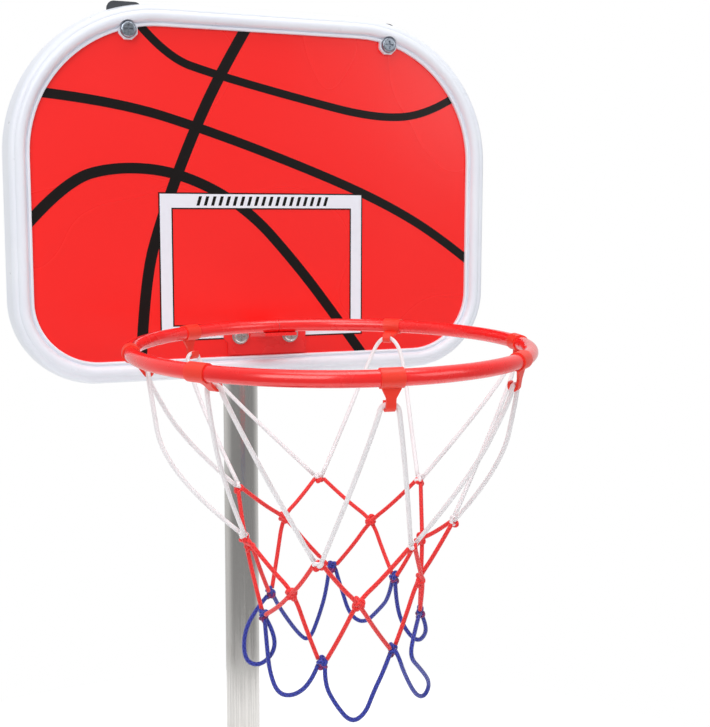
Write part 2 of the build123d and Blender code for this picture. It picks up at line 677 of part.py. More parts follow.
def ring_arc(start, sweep_angle, outer_r, inner_r=0.0):
    """Part of the rim's circle, of round or tubular section."""
    with BuildPart() as arc:
        with BuildSketch(ring_section(start)):
            Circle(outer_r)
            if inner_r:
                Circle(inner_r, mode=Mode.SUBTRACT)
        revolve(axis=RIM_AXIS, revolution_arc=sweep_angle)
    return arc


left_turn = RIM_FRONT_SEAM - RIM_BACK_SEAM
tube_bore = RIM_TUBE_R - RIM_TUBE_WALL
for start, turn, name in (
    (RIM_BACK_SEAM, left_turn, "rim_left_half"),
    (RIM_FRONT_SEAM, 360 - left_turn, "rim_right_half"),
):
    write(ring_arc(start + SEAM_GAP, turn - 2 * SEAM_GAP, RIM_TUBE_R, tube_bore), name)
write(ring_arc(RIM_BACK_SEAM - 7, 14, tube_bore), "rim_joint_pin_back")
write(ring_arc(RIM_FRONT_SEAM - 7, 14, tube_bore), "rim_joint_pin_front")


# ---- Net hooks ----
CLIP_R = 5.95
CLIP_HALF_ANGLE = 2.9
HOOK_W = 11.4
HOOK_TIP_W = 5.8
HOOK_BEND = Vector(-1.5, -16.4)  # centre of the bend at the tail's end, in the hook's section
HOOK_BEND_R = 1.8
HOOK_T = 1.8
HOOK_TIP_RISE = 2.2  # how far the turned-up end rises above the bend's centre


def net_hook(angle, lean):
    """Clip round the rim's tube with a tapered tail that turns up inwards at its end."""
    section = ring_section(angle, lean)
    front = Plane(origin=section.origin, x_dir=section.z_dir, z_dir=section.x_dir)
    centre = HOOK_BEND
    outer = HOOK_BEND_R + HOOK_T
    tip_y = centre.Y + HOOK_TIP_RISE
    up = front.to_local_coords(section.origin + section.y_dir).Y  # +1 or -1 for the sketch's up
    with BuildPart() as hook:
        with BuildSketch(section):
            with BuildLine():
                Line((centre.X + outer, -CLIP_R + 1), (centre.X + outer, centre.Y))
                ThreePointArc(
                    (centre.X + outer, centre.Y),
                    (centre.X, centre.Y - outer),
                    (centre.X - outer, centre.Y),
                )
                Polyline(
                    (centre.X - outer, centre.Y),
                    (centre.X - outer, tip_y),
                    (centre.X - HOOK_BEND_R, tip_y),
                    (centre.X - HOOK_BEND_R, centre.Y),
                )
                ThreePointArc(
                    (centre.X - HOOK_BEND_R, centre.Y),
                    (centre.X, centre.Y - HOOK_BEND_R),
                    (centre.X + HOOK_BEND_R, centre.Y),
                )
                Line((centre.X + HOOK_BEND_R, centre.Y), (centre.X + HOOK_BEND_R, -CLIP_R + 1))
                Line((centre.X + HOOK_BEND_R, -CLIP_R + 1), (centre.X + outer, -CLIP_R + 1))
            make_face()
        extrude(amount=HOOK_W / 2, both=True)
        # The tail narrows towards its end.
        with BuildSketch(front):
            with BuildLine():
                Polyline(
                    (-HOOK_W / 2, -up * 3),
                    (-HOOK_W / 2, -up * 6),
                    (-HOOK_TIP_W / 2, -up * 11.5),
                    (-HOOK_TIP_W / 2, -up * 32),
                    (HOOK_TIP_W / 2, -up * 32),
                    (HOOK_TIP_W / 2, -up * 11.5),
                    (HOOK_W / 2, -up * 6),
                    (HOOK_W / 2, -up * 3),
                    close=True,
                )
            make_face()
        extrude(amount=15, both=True, mode=Mode.INTERSECT)
        add(ring_arc(angle - CLIP_HALF_ANGLE, 2 * CLIP_HALF_ANGLE, CLIP_R).part)
        add(ring_arc(angle - 5, 10, RIM_TUBE_R).part, mode=Mode.SUBTRACT)
    return hook


for count, (hook_angle, hook_lean) in enumerate(HOOKS, start=1):
    write(net_hook(hook_angle, hook_lean), f"net_hook_{count}")


# ---- Net ----
PORT_OFFSET = 2.0  # cords leave a knot this far to either side of its centre
CROSSING_OFFSET = 2.0  # crossing cords pass this far inside and outside a red knot's centre


def knot_port(place, side):
    """Where a cord leaves a knot, on the side of rising (+1) or falling (-1) angle."""
    angle, radius, rise = place
    return ring_point(angle + side * math.degrees(PORT_OFFSET / radius), radius, rise)


def out_of_knot(port, towards):
    """Start of a cord just inside its knot's surface."""
    return port + (towards - port).normalized() * (KNOT_R - 1.6)


def cord_tube(points):
    """Cord of round section along straight runs joined by arcs; prints its smallest arc."""
    runs = [(b - a).length for a, b in zip(points, points[1:])]
    radii = []
    for i in range(1, len(points) - 1):
        turn = math.radians((points[i] - points[i - 1]).get_angle(points[i + 1] - points[i]))
        radii.append(0.45 * min(runs[i - 1], runs[i]) / math.tan(turn / 2))
    with BuildPart() as cord:
        with BuildLine() as route:
            FilletPolyline(*points, radius=radii)
        start_plane = Plane(origin=points[0], z_dir=points[1] - points[0])
        with BuildSketch(start_plane):
            Circle(CORD_R)
        sweep(path=route.wire())
    length = route.wire().length
    expected = math.pi * CORD_R**2 * length
    print(f"cord {length:6.1f} mm, volume ratio {cord.part.volume / expected:5.3f}, "
          f"arcs {[round(r, 1) for r in radii]}")
    return cord.part


def hook_seat(angle, lean, along, rise):
    """Point at a hook's bend, along the rim's direction and above the bend's centre."""
    section = ring_section(angle, lean)
    return section.from_local_coords(Vector(HOOK_BEND.X, HOOK_BEND.Y + rise, along))


ROPE_REST = -(HOOK_BEND_R - CORD_R)  # a cord lying in a hook, from the bend's centre
OVER_HOOK = 5.0  # half the length of cord that lies across a hook


def white_route(i):
    """From one white knot up to its hook, over it and down to the next white knot."""
    left = knot_port(WHITE_KNOTS[i], 1)
    right = knot_port(WHITE_KNOTS[(i + 1) % NET_COUNT], -1)
    angle, lean = HOOKS[i]
    spread, drop = SPREADS[i]
    over_left = hook_seat(angle, lean, OVER_HOOK, ROPE_REST + 1)
    over_right = hook_seat(angle, lean, -OVER_HOOK, ROPE_REST + 1)
    down_left = hook_seat(angle, lean, OVER_HOOK + spread, ROPE_REST) - Vector(0, 0, drop)
    down_right = hook_seat(angle, lean, -OVER_HOOK - spread, ROPE_REST) - Vector(0, 0, drop)
    (out_left, sag_left), (out_right, sag_right) = BOWS[i]
    outward = (ring_point(angle, 1, 0) - ring_point(angle, 0, 0)).normalized()
    bow_left = (down_left + left) / 2 + outward * out_left - Vector(0, 0, sag_left)
    bow_right = (down_right + right) / 2 + outward * out_right - Vector(0, 0, sag_right)
    start = out_of_knot(left, bow_left)
    end = out_of_knot(right, bow_right)
    return [start, bow_left, down_left, over_left, over_right, down_right, bow_right, end]


def red_route(i, step):
    """From a white knot through the red knot beside it to the next blue knot."""
    gap = i if step > 0 else (i - 1) % NET_COUNT
    angle, radius, rise = RED_KNOTS[gap]
    start_port = knot_port(WHITE_KNOTS[i], step)
    # Of two crossing strands, the one that ends nearer the net's middle passes inside
    outside = 1 if BLUE_KNOTS[(gap + 1) % NET_COUNT][1] >= BLUE_KNOTS[gap][1] else -1
    crossing = ring_point(angle, radius + step * outside * CROSSING_OFFSET, rise)
    end_port = knot_port(BLUE_KNOTS[(i + step) % NET_COUNT], -step)
    bow_high = (start_port + crossing) / 2 + Vector(0, 0, -2)
    bow_low = (crossing + end_port) / 2 + Vector(0, 0, -2)
    start = out_of_knot(start_port, bow_high)
    end = out_of_knot(end_port, bow_low)
    return [start, bow_high, crossing, bow_low, end]


def blue_route(i):
    """Slack loop from one blue knot down and up to the next."""
    middle = [ring_point(*place) for place in BLUE_ROUTES[i]]
    start = out_of_knot(knot_port(BLUE_KNOTS[i], 1), middle[0])
    end = out_of_knot(knot_port(BLUE_KNOTS[(i + 1) % NET_COUNT], -1), middle[-1])
    return [start, *middle, end]


with BuildPart() as net_white_loops:
    for i in range(NET_COUNT):
        add(cord_tube(white_route(i)))
write(net_white_loops, "net_white_loops")

for step, name in ((1, "net_red_right_strands"), (-1, "net_red_left_strands")):
    with BuildPart() as strands:
        for i in range(NET_COUNT):
            add(cord_tube(red_route(i, step)))
    write(strands, name)

with BuildPart() as net_blue_loops:
    for i in range(NET_COUNT):
        add(cord_tube(blue_route(i)))
write(net_blue_loops, "net_blue_loops")

for places, name in ((WHITE_KNOTS, "net_white_knots"), (RED_KNOTS, "net_red_knots"),
                     (BLUE_KNOTS, "net_blue_knots")):
    with BuildPart() as knots:
        with Locations(*[ring_point(*place) for place in places]):
            Sphere(KNOT_R)
    write(knots, name)
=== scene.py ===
"""Looks for the children's basketball hoop: materials, the board's print, net cords and knots."""

import json
import math

import bpy
from mathutils import Matrix, Vector


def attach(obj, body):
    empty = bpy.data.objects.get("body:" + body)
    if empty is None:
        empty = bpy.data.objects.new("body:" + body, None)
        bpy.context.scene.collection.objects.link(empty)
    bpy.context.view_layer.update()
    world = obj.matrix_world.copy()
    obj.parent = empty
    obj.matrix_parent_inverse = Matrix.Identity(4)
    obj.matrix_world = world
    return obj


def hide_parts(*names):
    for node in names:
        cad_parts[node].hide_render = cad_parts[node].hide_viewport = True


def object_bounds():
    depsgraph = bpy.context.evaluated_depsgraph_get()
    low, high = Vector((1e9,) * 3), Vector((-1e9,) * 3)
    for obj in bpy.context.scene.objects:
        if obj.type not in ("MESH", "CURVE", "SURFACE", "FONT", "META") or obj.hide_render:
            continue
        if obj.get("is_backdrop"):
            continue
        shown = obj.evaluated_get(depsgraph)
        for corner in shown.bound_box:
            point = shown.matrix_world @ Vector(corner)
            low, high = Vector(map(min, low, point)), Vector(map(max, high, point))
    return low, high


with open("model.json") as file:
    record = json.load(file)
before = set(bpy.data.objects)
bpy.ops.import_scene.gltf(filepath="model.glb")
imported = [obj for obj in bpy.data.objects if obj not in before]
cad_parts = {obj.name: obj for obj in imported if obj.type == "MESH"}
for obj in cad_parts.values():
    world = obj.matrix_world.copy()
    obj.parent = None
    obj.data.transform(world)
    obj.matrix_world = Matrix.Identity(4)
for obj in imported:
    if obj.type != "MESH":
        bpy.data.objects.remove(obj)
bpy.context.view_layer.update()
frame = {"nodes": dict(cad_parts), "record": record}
nodes = frame["nodes"]

# ---- Sizes shared with the exact model, in metres ----
RING_Z = 0.930
RING_R = 0.134
BOARD_Y = -0.091
RING_CENTRE = Vector((0, BOARD_Y - 0.0465 - RING_R, RING_Z))
CORD_R = 0.0015
KNOT_R = 0.0039
KNOT_GRIP = 0.0016  # how deep a cord starts inside its knot
PORT_OFFSET = 0.002
CROSSING_OFFSET = 0.002
HOOK_BEND = (-0.0015, -0.0164)
ROPE_REST = -0.0003
OVER_HOOK = 0.005

# Hooks round the rim: angle from the board's direction and inward lean, in degrees.
HOOKS = [(35, 6), (85, 36), (127, 50), (176, 6), (223, 8), (262, 14), (320, 55)]
# Each hook's cord: how far it spreads sideways from the hook, and over what drop
SPREADS = [
    (0.0015, 0.007), (0.001, 0.007), (0.0015, 0.007), (0.0015, 0.007), (0.001, 0.007),
    (0.0015, 0.007), (0.008, 0.013),
]
# How far the two sides of each hook's cord bow outwards and sag
BOWS = [
    ((0, 0.0025), (0.002, 0.003)), ((0.006, 0.005), (0.021, 0.008)), ((0.006, 0.003), (0, 0.0025)),
    ((0, 0.0025), (0.003, 0.0025)), ((0.006, 0.003), (0.012, 0.004)), ((0, 0.0025), (0, 0.0025)),
    ((0, 0.0025), (0, 0.0025)),
]
NET_COUNT = len(HOOKS)
# Knots of the net: angle from the board's direction, then radius and height from the rim.
WHITE_KNOTS = [
    (-10, 0.066, -0.108), (63, 0.066, -0.100), (100, 0.066, -0.122), (154, 0.064, -0.130),
    (212, 0.069, -0.125), (246, 0.084, -0.120), (275, 0.069, -0.100),
]
RED_KNOTS = [
    (24, 0.051, -0.131), (80, 0.057, -0.137), (132, 0.052, -0.157), (181, 0.053, -0.162),
    (236, 0.063, -0.159), (260, 0.063, -0.139), (308, 0.053, -0.136),
]
BLUE_KNOTS = [
    (-19, 0.045, -0.171), (56, 0.045, -0.178), (90, 0.049, -0.183), (154, 0.045, -0.204),
    (220, 0.049, -0.204), (245, 0.062, -0.185), (269, 0.047, -0.168),
]
# Each blue loop's route from its knot to the next one
BLUE_ROUTES = [
    [(-14, 0.047, -0.190), (-7, 0.048, -0.211), (2, 0.048, -0.229), (13, 0.048, -0.221),
     (39, 0.047, -0.192)],
    [(64, 0.052, -0.186), (78, 0.061, -0.198), (86, 0.062, -0.216), (92, 0.052, -0.219),
     (96, 0.042, -0.208), (93, 0.043, -0.194)],
    [(98, 0.049, -0.203), (105, 0.050, -0.219), (117, 0.051, -0.230), (132, 0.050, -0.228),
     (145, 0.048, -0.218)],
    [(156, 0.047, -0.218), (165, 0.048, -0.232), (177, 0.049, -0.245), (189, 0.049, -0.241),
     (197, 0.049, -0.227), (208, 0.049, -0.215)],
    [(214, 0.057, -0.205), (224, 0.056, -0.221), (239, 0.060, -0.243), (248, 0.066, -0.249),
     (248, 0.070, -0.238), (231, 0.065, -0.219), (217, 0.064, -0.205), (223, 0.063, -0.193)],
    [(250, 0.066, -0.195), (253, 0.067, -0.205), (259, 0.062, -0.214), (266, 0.054, -0.206),
     (270, 0.049, -0.189)],
    [(279, 0.047, -0.186), (294, 0.048, -0.199), (311, 0.048, -0.214), (325, 0.048, -0.209),
     (332, 0.047, -0.190)],
]


# ---- Shader helpers ----
BRAID_PITCH = 0.0034  # length of one turn of the braid
BRAID_STARTS = 4  # strands that run each way round a cord


class Shader:
    """A material's node tree, with short calls for the nodes this scene uses."""

    def __init__(self, name, color, roughness, metallic=0.0, **sockets):
        self.material = bpy.data.materials.new(name)
        self.material.use_nodes = True
        self.tree = self.material.node_tree
        self.surface = self.tree.nodes["Principled BSDF"]
        self.surface.inputs["Base Color"].default_value = (*color, 1)
        self.surface.inputs["Roughness"].default_value = roughness
        self.surface.inputs["Metallic"].default_value = metallic
        for socket, value in sockets.items():
            self.surface.inputs[socket.replace("_", " ")].default_value = value
        self.color = color
        self.height = None

    def link(self, source, target):
        self.tree.links.new(source, target)

    def coordinates(self, scale=(1, 1, 1), uv=False):
        """Object coordinates, or the UV map, stretched by scale."""
        place = self.tree.nodes.new("ShaderNodeTexCoord")
        mapping = self.tree.nodes.new("ShaderNodeMapping")
        mapping.inputs["Scale"].default_value = scale
        self.link(place.outputs["UV" if uv else "Object"], mapping.inputs["Vector"])
        return mapping.outputs["Vector"]

    def noise(self, frequency, detail=3.0, scale=(1, 1, 1), distortion=0.0):
        """Noise with about frequency bumps in a metre."""
        texture = self.tree.nodes.new("ShaderNodeTexNoise")
        texture.inputs["Scale"].default_value = frequency
        texture.inputs["Detail"].default_value = detail
        texture.inputs["Distortion"].default_value = distortion
        self.link(self.coordinates(scale), texture.inputs["Vector"])
        return texture.outputs["Fac"]

    def math(self, operation, a, b=0.0):
        node = self.tree.nodes.new("ShaderNodeMath")
        node.operation = operation
        for slot, value in zip(node.inputs, (a, b)):
            if isinstance(value, (int, float)):
                slot.default_value = value
            else:
                self.link(value, slot)
        return node.outputs[0]

    def ramp(self, source, low, high, out_low, out_high):
        """Maps a value's low to high onto out_low to out_high."""
        node = self.tree.nodes.new("ShaderNodeMapRange")
        for key, value in (("From Min", low), ("From Max", high),
                           ("To Min", out_low), ("To Max", out_high)):
            node.inputs[key].default_value = value
        self.link(source, node.inputs["Value"])
        return node.outputs["Result"]

    def tint(self, mask, color):
        """Mixes another colour over the present one where mask is 1."""
        node = self.tree.nodes.new("ShaderNodeMix")
        node.data_type = "RGBA"
        base = self.surface.inputs["Base Color"]
        if base.links:
            self.link(base.links[0].from_socket, node.inputs["A"])
        else:
            node.inputs["A"].default_value = (*self.color, 1)
        node.inputs["B"].default_value = (*color, 1)
        self.link(mask, node.inputs["Factor"])
        self.link(node.outputs["Result"], base)

    def roughen(self, mask, low, high):
        """Roughness from low to high as mask goes from 0.3 to 0.7."""
        self.link(self.ramp(mask, 0.3, 0.7, low, high), self.surface.inputs["Roughness"])

    def bump(self, height, depth):
        """Adds relief of the given depth in metres."""
        node = self.tree.nodes.new("ShaderNodeBump")
        node.inputs["Strength"].default_value = 1.0
        node.inputs["Distance"].default_value = depth
        self.link(height, node.inputs["Height"])
        if self.height:
            self.link(self.height, node.inputs["Normal"])
        self.height = node.outputs["Normal"]
        self.link(self.height, self.surface.inputs["Normal"])


def moulded_plastic(name, color, roughness, grain=2500, depth=0.00004, **sockets):
    """Moulded plastic: fine grain, faint waviness and slightly uneven gloss."""
    shader = Shader(name, color, roughness, **sockets)
    shader.roughen(shader.noise(60, 4), roughness * 0.8, roughness * 1.25)
    shader.bump(shader.noise(grain, 2), depth)
    shader.bump(shader.noise(35, 1), 0.0004)
    paler = tuple(min(1.0, c * 1.1 + 0.001) for c in color)
    shader.tint(shader.ramp(shader.noise(18, 2), 0.3, 0.8, 0, 0.5), paler)
    return shader


def painted_steel(name, color, roughness, **sockets):
    """Powder coat with a slight orange peel and a few duller patches."""
    shader = Shader(name, color, roughness, **sockets)
    shader.roughen(shader.noise(45, 4), roughness * 0.75, roughness * 1.3)
    shader.bump(shader.noise(900, 2), 0.00005)
    darker = tuple(c * 0.8 for c in color)
    shader.tint(shader.ramp(shader.noise(25, 4), 0.45, 0.8, 0, 0.6), darker)
    return shader


def bare_steel(name, color, roughness, streak_scale, anisotropy=0.0):
    """Steel with fine streaks; streak_scale is small along them."""
    shader = Shader(name, color, roughness, metallic=1.0, Anisotropic=anisotropy)
    streaks = shader.noise(900, 3, streak_scale)
    shader.roughen(streaks, roughness * 0.7, roughness * 1.4)
    shader.tint(shader.ramp(streaks, 0.35, 0.7, 0, 0.45), tuple(c * 0.72 for c in color))
    shader.bump(streaks, 0.000015)
    shader.tint(shader.ramp(shader.noise(30, 5), 0.55, 0.8, 0, 0.35), (0.42, 0.40, 0.37))
    return shader


def braided_cord(name, color, groove_shade, relief):
    """Braid of crossing strands on the cord's own map: u round it, v along it in metres. The valleys
    between the strands are tinted darker as painted shade.
    """
    shader = Shader(name, color, 0.62, Sheen_Weight=0.35, Sheen_Roughness=0.45)
    split = shader.tree.nodes.new("ShaderNodeSeparateXYZ")
    shader.link(shader.coordinates(uv=True), split.inputs[0])
    around = shader.math("MULTIPLY", split.outputs["X"], BRAID_STARTS * 2 * math.pi)
    along = shader.math("MULTIPLY", split.outputs["Y"], 2 * math.pi / BRAID_PITCH)
    right_hand = shader.math("SINE", shader.math("ADD", around, along))
    left_hand = shader.math("SINE", shader.math("SUBTRACT", around, along))
    strands = shader.math("MAXIMUM", right_hand, left_hand)
    # Painted shade: the valleys between the strands get the darker colour, as if shaded by the strands
    # beside them.
    shader.tint(shader.ramp(strands, -0.2, 0.7, 1, 0), groove_shade)
    shader.bump(strands, relief)
    shader.bump(shader.noise(2600, 3), 0.00006)
    shader.tint(shader.ramp(shader.noise(70, 2), 0.4, 0.75, 0, 0.35), tuple(c * 0.75 for c in color))
    return shader


# ---- Materials ----
frame_white = moulded_plastic("frame_white", (0.84, 0.87, 0.95), 0.34, depth=0.00001,
                              Coat_Weight=0.12)
panel_red = Shader("panel_red", (0.98, 0.010, 0.009), 0.3, Coat_Weight=0.2, Coat_Roughness=0.2)
panel_red.roughen(panel_red.noise(7, 1), 0.24, 0.34)
panel_red.bump(panel_red.noise(9, 0), 0.0003)
panel_patches = panel_red.ramp(panel_red.noise(6, 0), 0.2, 0.8, 0, 0.5)
panel_red.tint(panel_patches, (1.0, 0.018, 0.014))
print_black = Shader("print_black", (0.006, 0.004, 0.004), 0.34, Specular_IOR_Level=0.25)
ink_flecks = print_black.ramp(print_black.noise(400, 3), 0.6, 0.75, 0, 0.3)
print_black.tint(ink_flecks, (0.02, 0.012, 0.012))
print_white = Shader("print_white", (0.86, 0.87, 0.95), 0.34)
white_patches = print_white.ramp(print_white.noise(120, 3), 0.5, 0.8, 0, 0.4)
print_white.tint(white_patches, (0.80, 0.80, 0.88))
rim_red = painted_steel("rim_red", (0.95, 0.014, 0.014), 0.26, Coat_Weight=0.5, Coat_Roughness=0.07)
hook_plastic = moulded_plastic("hook_plastic", (0.92, 0.040, 0.018), 0.42, grain=1500,
                               Subsurface_Weight=0.15, Subsurface_Scale=0.003)
pole_steel = bare_steel("pole_steel", (0.66, 0.645, 0.625), 0.2, (1, 1, 0.01), 0.5)
screw_steel = bare_steel("screw_steel", (0.70, 0.69, 0.67), 0.28, (1, 0.3, 1))
zinc_steel = bare_steel("zinc_steel", (0.33, 0.37, 0.43), 0.3, (1, 0.3, 1))
bracket_grey = painted_steel("bracket_grey", (0.045, 0.05, 0.06), 0.4)
lower_pole_paint = painted_steel("lower_pole_paint", (0.016, 0.016, 0.018), 0.36)
base_plastic = moulded_plastic("base_plastic", (0.018, 0.018, 0.020), 0.46, grain=900, depth=0.00012)
knob_plastic = moulded_plastic("knob_plastic", (0.02, 0.02, 0.022), 0.34, grain=1600, depth=0.00006)
seal_rubber = moulded_plastic("seal_rubber", (0.02, 0.02, 0.02), 0.75)
spacer_white = moulded_plastic("spacer_white", (0.78, 0.78, 0.80), 0.4)
cord_white = braided_cord("cord_white", (0.95, 0.93, 0.95), (0.91, 0.87, 0.90), 0.00007)
cord_red = braided_cord("cord_red", (1.0, 0.030, 0.028), (0.82, 0.014, 0.016), 0.00012)
cord_blue = braided_cord("cord_blue", (0.028, 0.050, 0.46), (0.010, 0.014, 0.20), 0.00016)
wrap_purple = braided_cord("wrap_purple", (0.30, 0.015, 0.16), (0.10, 0.008, 0.10), 0.00016)

SLOT_SHADERS = {
    "base_plastic": base_plastic, "seal_rubber": seal_rubber, "knob_plastic": knob_plastic,
    "screw_steel": screw_steel, "lower_pole_paint": lower_pole_paint, "pole_steel": pole_steel,
    "bracket_grey": bracket_grey, "frame_white": frame_white, "panel_red": panel_red,
    "spacer_white": spacer_white, "rim_red": rim_red, "hook_plastic": hook_plastic,
    "net_white": cord_white, "net_red": cord_red, "net_blue": cord_blue,
}
for part in frame["record"]["subparts"]:
    shader = SLOT_SHADERS[part["material_slot"]]
    for slot in nodes[part["node"]].material_slots:
        slot.material = shader.material
# The upper board screws are duller, bluish zinc
for slot in nodes["corner_screws"].material_slots:
    slot.material = zinc_steel.material


# ---- Mesh helpers ----
def new_piece(name, vertices, faces, material, smooth=False, uvs=None):
    """Mesh object riding on the mast."""
    mesh = bpy.data.meshes.new(name)
    mesh.from_pydata([tuple(v) for v in vertices], [], faces)
    mesh.materials.append(material)
    if smooth:
        mesh.shade_smooth()
    if uvs:
        layer = mesh.uv_layers.new(name="UVMap")
        for loop, uv in zip(layer.data, uvs):
            loop.uv = uv
    piece = bpy.data.objects.new(name, mesh)
    bpy.context.scene.collection.objects.link(piece)
    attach(piece, "mast")
    return piece


def smooth_path(points, resolution=16, closed=False):
    """Points along the NURBS spline whose control points are given."""
    data = bpy.data.curves.new("route", "CURVE")
    data.dimensions = "3D"
    data.resolution_u = resolution
    spline = data.splines.new("NURBS")
    spline.points.add(len(points) - 1)
    for control, place in zip(spline.points, points):
        control.co = (*place, 1)
    spline.order_u = 3
    spline.use_cyclic_u = closed
    spline.use_endpoint_u = not closed
    route = bpy.data.objects.new("route", data)
    mesh = bpy.data.meshes.new_from_object(route)
    path = [v.co.copy() for v in mesh.vertices]
    bpy.data.objects.remove(route)
    bpy.data.curves.remove(data)
    bpy.data.meshes.remove(mesh)
    return path


def tube_mesh(path, radius, sides=10, closed=False):
    """Vertices, faces and UVs of a tube along a path; v is the length along it in metres."""
    count = len(path)
    vertices, faces, uvs = [], [], []
    tangents = []
    for i in range(count):
        before = path[(i - 1) % count] if closed or i > 0 else path[0]
        after = path[(i + 1) % count] if closed or i < count - 1 else path[-1]
        tangents.append((after - before).normalized())
    across = tangents[0].orthogonal().normalized()
    lengths = [0.0]
    for i in range(count):
        if i:
            across = (across - tangents[i] * across.dot(tangents[i])).normalized()
            lengths.append(lengths[-1] + (path[i] - path[i - 1]).length)
        third = tangents[i].cross(across)
        for k in range(sides):
            turn = 2 * math.pi * k / sides
            vertices.append(path[i] + radius * (math.cos(turn) * across + math.sin(turn) * third))
    lengths.append(lengths[-1] + (path[0] - path[-1]).length)
    for i in range(count if closed else count - 1):
        j = (i + 1) % count
        for k in range(sides):
            m = (k + 1) % sides
            faces.append((i * sides + k, i * sides + m, j * sides + m, j * sides + k))
            for u, v in ((k, i), (k + 1, i), (k + 1, i + 1), (k, i + 1)):
                uvs.append((u / sides, lengths[v]))
    if not closed:
        for ring, order in ((0, -1), (count - 1, 1)):
            faces.append(tuple(ring * sides + k for k in range(sides))[::order])
            uvs.extend([(0.5, lengths[ring])] * sides)
    return vertices, faces, uvs


# ---- Net ----
def ring_point(angle, radius, rise):
    """Point by its angle from the board's direction, its radius and its height from the rim."""
    turn = math.radians(angle + 90)
    return RING_CENTRE + Vector((radius * math.cos(turn), radius * math.sin(turn), rise))


def hook_seat(angle, lean, along, rise):
    """Point at a hook's bend, along the rim's direction and above the bend's centre."""
    turn = math.radians(angle + 90)
    outward = Vector((math.cos(turn), math.sin(turn), 0))
    backward = Vector((math.sin(turn), -math.cos(turn), 0))
    tilt = math.radians(lean)
    u = outward * math.cos(tilt) - Vector((0, 0, 1)) * math.sin(tilt)
    v = outward * math.sin(tilt) + Vector((0, 0, 1)) * math.cos(tilt)
    return ring_point(angle, RING_R, 0) + u * HOOK_BEND[0] + v * (HOOK_BEND[1] + rise) + backward * along


def knot_port(place, side):
    """Where a cord leaves a knot, on the side of rising (+1) or falling (-1) angle."""
    angle, radius, rise = place
    return ring_point(angle + side * math.degrees(PORT_OFFSET / radius), radius, rise)


def out_of_knot(port, towards):
    """Start of a cord just inside its knot's surface."""
    return port + (towards - port).normalized() * (KNOT_R - KNOT_GRIP)


def white_route(i):
    """From one white knot up to its hook, over it and down to the next white knot."""
    left = knot_port(WHITE_KNOTS[i], 1)
    right = knot_port(WHITE_KNOTS[(i + 1) % NET_COUNT], -1)
    angle, lean = HOOKS[i]
    spread, drop = SPREADS[i]
    over_left = hook_seat(angle, lean, OVER_HOOK, ROPE_REST + 0.001)
    over_right = hook_seat(angle, lean, -OVER_HOOK, ROPE_REST + 0.001)
    down_left = hook_seat(angle, lean, OVER_HOOK + spread, ROPE_REST) - Vector((0, 0, drop))
    down_right = hook_seat(angle, lean, -OVER_HOOK - spread, ROPE_REST) - Vector((0, 0, drop))
    (out_left, sag_left), (out_right, sag_right) = BOWS[i]
    outward = (ring_point(angle, 1, 0) - ring_point(angle, 0, 0)).normalized()
    bow_left = (down_left + left) / 2 + outward * out_left - Vector((0, 0, sag_left))
    bow_right = (down_right + right) / 2 + outward * out_right - Vector((0, 0, sag_right))
    start = out_of_knot(left, bow_left)
    end = out_of_knot(right, bow_right)
    return [start, bow_left, down_left, over_left, over_right, down_right, bow_right, end]


def red_route(i, step):
    """From a white knot through the red knot beside it to the next blue knot."""
    gap = i if step > 0 else (i - 1) % NET_COUNT
    angle, radius, rise = RED_KNOTS[gap]
    start_port = knot_port(WHITE_KNOTS[i], step)
    outside = 1 if BLUE_KNOTS[(gap + 1) % NET_COUNT][1] >= BLUE_KNOTS[gap][1] else -1
    crossing = ring_point(angle, radius + step * outside * CROSSING_OFFSET, rise)
    end_port = knot_port(BLUE_KNOTS[(i + step) % NET_COUNT], -step)
    bow_high = (start_port + crossing) / 2 + Vector((0, 0, -0.002))
    bow_low = (crossing + end_port) / 2 + Vector((0, 0, -0.002))
    return [out_of_knot(start_port, bow_high), bow_high, crossing, bow_low,
            out_of_knot(end_port, bow_low)]


def blue_route(i):
    """Slack loop from one blue knot down and up to the next."""
    middle = [ring_point(*place) for place in BLUE_ROUTES[i]]
    start = out_of_knot(knot_port(BLUE_KNOTS[i], 1), middle[0])
    end = out_of_knot(knot_port(BLUE_KNOTS[(i + 1) % NET_COUNT], -1), middle[-1])
    return [start, *middle, end]


def net_cord(name, route, shader, node):
    """One cord of the net, standing for its share of a CAD node."""
    path = smooth_path(route)
    vertices, faces, uvs = tube_mesh(path, CORD_R)
    piece = new_piece(name, vertices, faces, shader.material, smooth=True, uvs=uvs)
    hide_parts(node)


for i in range(NET_COUNT):
    net_cord(f"white_loop_{i + 1}", white_route(i), cord_white,
             "net_white_loops")
    net_cord(f"red_right_strand_{i + 1}", red_route(i, 1), cord_red,
             "net_red_right_strands")
    net_cord(f"red_left_strand_{i + 1}", red_route(i, -1), cord_red,
             "net_red_left_strands")
    net_cord(f"blue_loop_{i + 1}", blue_route(i), cord_blue,
             "net_blue_loops")


# Knots: each is two turns of cord drawn tight through each other
KNOT_CORD_R = 0.00135
KNOT_STEPS = 36


def knot_turn(centre, angle, tip, size):
    """Closed path of one tight turn, faced outwards from the net and tipped by an angle."""
    aim = Matrix.Rotation(math.radians(angle + 90), 3, "Z") @ Matrix.Rotation(math.radians(tip), 3, "Y")
    path = []
    for k in range(KNOT_STEPS):
        t = 2 * math.pi * k / KNOT_STEPS
        place = Vector((
            -1.1 * math.sin(3 * t),
            math.sin(t) + 2 * math.sin(2 * t),
            math.cos(t) - 2 * math.cos(2 * t),
        ))
        path.append(centre + aim @ (place * size))
    return path


